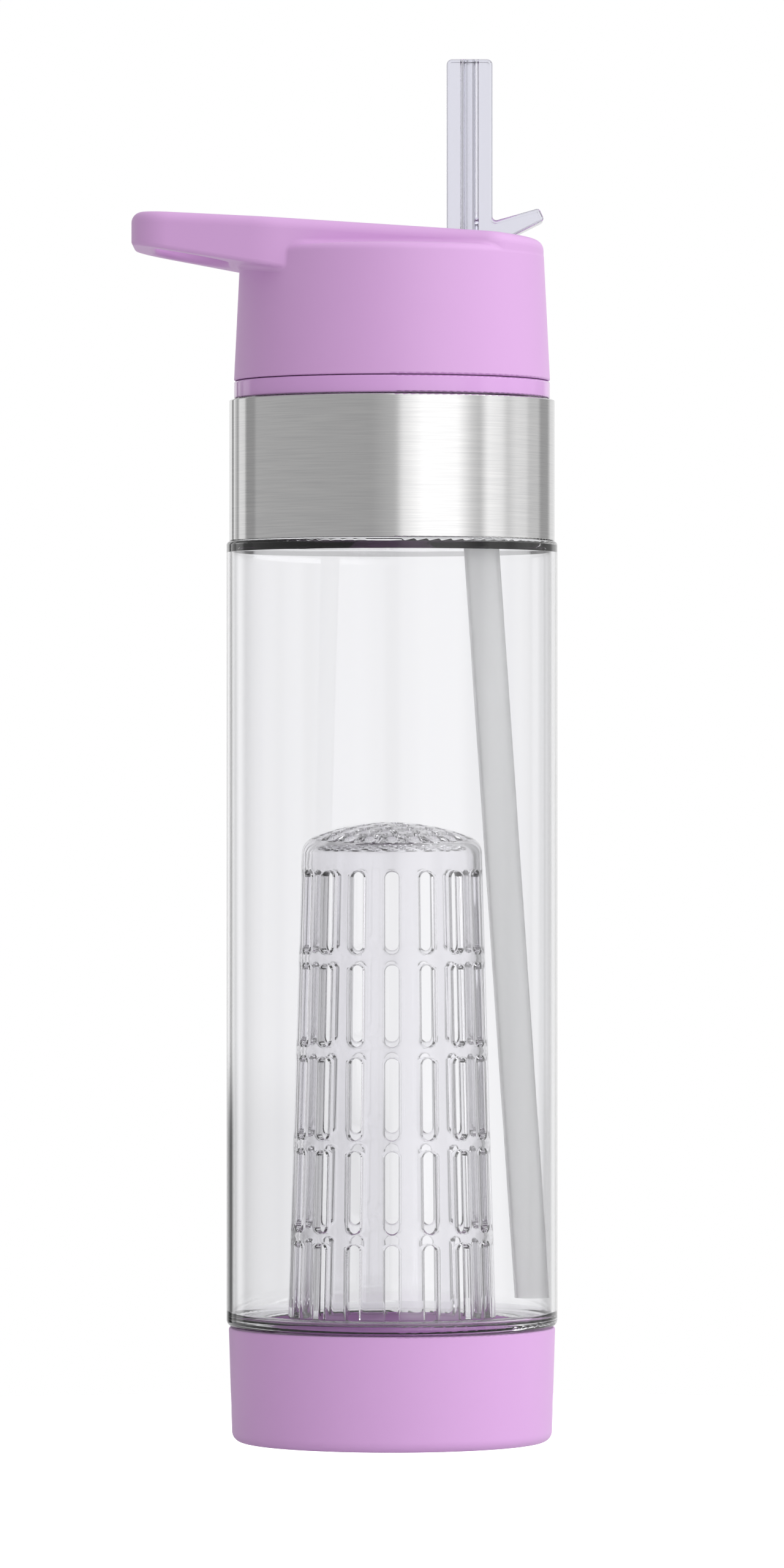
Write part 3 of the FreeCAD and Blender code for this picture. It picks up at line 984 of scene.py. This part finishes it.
    def _under_dome(self, radius: float) -> tuple[float, float]:
        """Find the hollow's end or its rounded corner below a place on the dome or the shoulder.

        Args:
            radius: Distance of the outer place from the axis.

        Returns:
            Radius and height of the inner place, upright below the outer one where there are holes.
        """
        upright = self.hole_pitch * self.hole_rings + self.hole_radius
        wall = self.hollow_fillet_radius + self.hollow_fillet
        outer_wall = self.fillet_radius + self.fillet
        if radius > upright:
            radius = upright + (radius - upright) * (wall - upright) / (outer_wall - upright)
        sphere = self.dome_sphere - self.wall
        if radius < self.hollow_fillet_radius * sphere / (sphere - self.hollow_fillet):
            return radius, self._dome_height(radius, self.wall)
        past = radius - self.hollow_fillet_radius
        rise = math.sqrt(max(self.hollow_fillet ** 2 - past ** 2, 0.0))
        return radius, self.hollow_fillet_height + rise

    def _round_rims(self, bm: bmesh.types.BMesh, rims: list[bmesh.types.BMEdge]) -> None:
        """Round the rims of the closed shell.

        Args:
            bm: The shell.
            rims: The rims' edges.
        """
        bmesh.ops.bevel(bm, geom=rims, offset=self.rim_round, segments=self.rim_segments,
                        profile=0.5, affect="EDGES", material=-1, clamp_overlap=False)


@dataclass
class Lid:
    """Lilac lid: cover with its finger loop, threaded insert, gasket, vent, seal and straw."""

    insert_radius: float = 0.0312
    thread_height: float = 0.0008
    thread_start: float = 0.2354
    thread_turns: float = 1.5

    def build(self, shelf: FinishShelf) -> None:
        """Dress the solids and add the insert's thread.

        Args:
            shelf: The finishes.
        """
        shelf.dress_solids("lid_cover", "lid_insert", "lid_gasket", "vent_valve", "spout_seal",
                           "straw")
        ScrewThread("lid_thread", "lid", Slot.LILAC_GLOSS, self.insert_radius, -self.thread_height,
                    self.thread_start, self.thread_turns).build(shelf)


@dataclass
class FlipSpout:
    """Clear drinking spout."""

    solid: str = "spout"

    def build(self, shelf: FinishShelf) -> None:
        """Dress the solid."""
        shelf.dress_solids(self.solid)


@dataclass
class Studio:
    """Pale floor, soft surrounding light and the camera.

    Levels hold degrees to the right of the camera's direction with the light's strength there: the
    belt lies round the horizon, the upper light above it, and the shade is the share of shade_level
    in the belt's lower part. Spans hold heights of the light's direction, from -1 straight down to
    1 straight up.
    """

    camera_distance: float = 1.860
    eye_height: float = 0.145
    lens_mm: float = 193.5
    sensor_mm: float = 36.0
    floor_radius: float = 0.28
    floor_height: float = -0.0095
    floor_segments: int = 128
    floor_colour: Colour = (0.75, 0.75, 0.76)
    floor_roughness: float = 0.8
    light_bounces: int = 24
    belt: Levels = (
        (-180, 0.93), (-170, 0.87), (-161, 1.0), (-158, 0.85), (-156, 0.2), (-153.5, 0.2),
        (-151.5, 1.1), (-145.5, 0.62), (-141, 0.42), (-138.5, 1.0), (-129, 0.95), (-126, 0.4),
        (-115, 0.42), (-112, 0.57), (-14, 0.5), (3, 0.66), (7, 1.15), (22, 1.6), (47, 1.55),
        (58, 0.95), (65, 0.75), (72, 1.35), (84, 1.2), (90, 0.88), (99, 1.08), (110, 1.02),
        (114, 0.8), (127, 0.76), (131, 0.46), (145, 0.45), (152, 0.9), (180, 0.93))
    shade: Levels = ((-180, 0.1), (-171, 0.15), (-163, 0.68), (-156, 1.0), (-152, 1.0), (-148, 0.0))
    shade_level: float = 0.08
    shade_end: Span = (-0.042, -0.03)
    upper: Levels = (
        (-180, 0.6), (-150, 0.5), (-120, 0.4), (-10, 0.5), (10, 1.4), (25, 2.4), (95, 2.4),
        (120, 1.4), (150, 0.7), (180, 0.6))
    upper_start: Span = (0.12, 0.4)
    top_level: float = 1.1
    top_start: Span = (0.7, 1.0)
    low_level: float = 0.7
    low_end: Span = (-0.4, -0.1)

    def build(self) -> None:
        """Make the floor, the light and the camera."""
        self._floor()
        self._surround()
        self._camera()
        scene = bpy.context.scene
        scene.view_settings.view_transform = "Standard"
        scene.cycles.max_bounces = self.light_bounces
        scene.cycles.transmission_bounces = self.light_bounces

    def _floor(self) -> None:
        """Round floor, low enough for the unscrewed base and white where it is seen directly."""
        mesh = bpy.data.meshes.new("floor")
        bm = bmesh.new()
        bmesh.ops.create_circle(bm, cap_ends=True, segments=self.floor_segments,
                                radius=self.floor_radius,
                                matrix=Matrix.Translation((0.0, 0.0, self.floor_height)))
        bm.to_mesh(mesh)
        bm.free()
        floor = bpy.data.objects.new("floor", mesh)
        bpy.context.scene.collection.objects.link(floor)
        material, bench = new_surface("pale_floor")
        seen = bench.signal("ShaderNodeLightPath", "Is Camera Ray")
        finish_surface(bench, {
            "Base Color": (*self.floor_colour, 1.0),
            "Roughness": self.floor_roughness,
            "Emission Color": bench.blend(seen, even(0.0), even(1.0)),
            "Emission Strength": 1.0,
        })
        mesh.materials.append(material)

    def _surround(self) -> None:
        """Soft light all round: bright at front right, dim at left, white behind."""
        world = bpy.data.worlds.new("studio")
        world.use_nodes = True
        bpy.context.scene.world = world
        bench = NodeBench(world.node_tree)
        way = bench.signal("ShaderNodeTexCoord", "Generated")
        parts = bench.node("ShaderNodeSeparateXYZ", sockets={"Vector": way})
        right, back, up = (Signal(output) for output in parts.outputs)
        around = right.turn_from(-1.0 * back) * (1.0 / FULL_TURN) + 0.5
        belt, shade, upper = (self._ramp(bench, around, levels)
                              for levels in (self.belt, self.shade, self.upper))
        shaded = shade * (1.0 - bench.rise(up, self.shade_end))
        low_belt = bench.blend(shaded, belt, even(self.shade_level))
        walls = bench.blend(bench.rise(up, self.upper_start), low_belt, upper)
        above = bench.blend(bench.rise(up, self.top_start), walls, even(self.top_level))
        light = bench.blend(bench.rise(up, self.low_end), even(self.low_level), above)
        seen = bench.signal("ShaderNodeLightPath", "Is Camera Ray")
        shown = bench.blend(seen, light, even(1.0))
        background = bench.signal("ShaderNodeBackground", sockets={"Color": shown})
        bench.node("ShaderNodeOutputWorld", sockets={"Surface": background})

    @staticmethod
    def _ramp(bench: NodeBench, around: Signal, levels: Levels) -> Signal:
        """Light levels round the horizon.

        Args:
            bench: Bench of the world.
            around: Direction from 0 to 1, with the camera's at 0.5.
            levels: Degrees with the light's strength there.

        Returns:
            The light as a colour.
        """
        stops = [(degrees / 360.0 + 0.5, even(level)) for degrees, level in levels]
        return bench.signal("ShaderNodeValToRGB", "Color", {"stops": stops}, {"Fac": around})

    def _camera(self) -> None:
        """Level camera at the photograph's place."""
        data = bpy.data.cameras.new("camera")
        data.lens = self.lens_mm
        data.sensor_width = self.sensor_mm
        camera = bpy.data.objects.new("camera", data)
        camera.location = (0.0, -self.camera_distance, self.eye_height)
        camera.rotation_euler = (math.radians(90.0), 0.0, 0.0)
        bpy.context.scene.collection.objects.link(camera)
        bpy.context.scene.camera = camera


def main() -> None:
    """Build the bottle's looks and the studio."""
    logging.basicConfig(level=logging.INFO, format="%(name)s: %(message)s")
    shelf = FinishShelf()
    for assembly in (Bottle(), ScrewBase(), InfuserBasket(), Lid(), FlipSpout()):
        assembly.build(shelf)
    Studio().build()


if __name__ == "__main__":
    main()
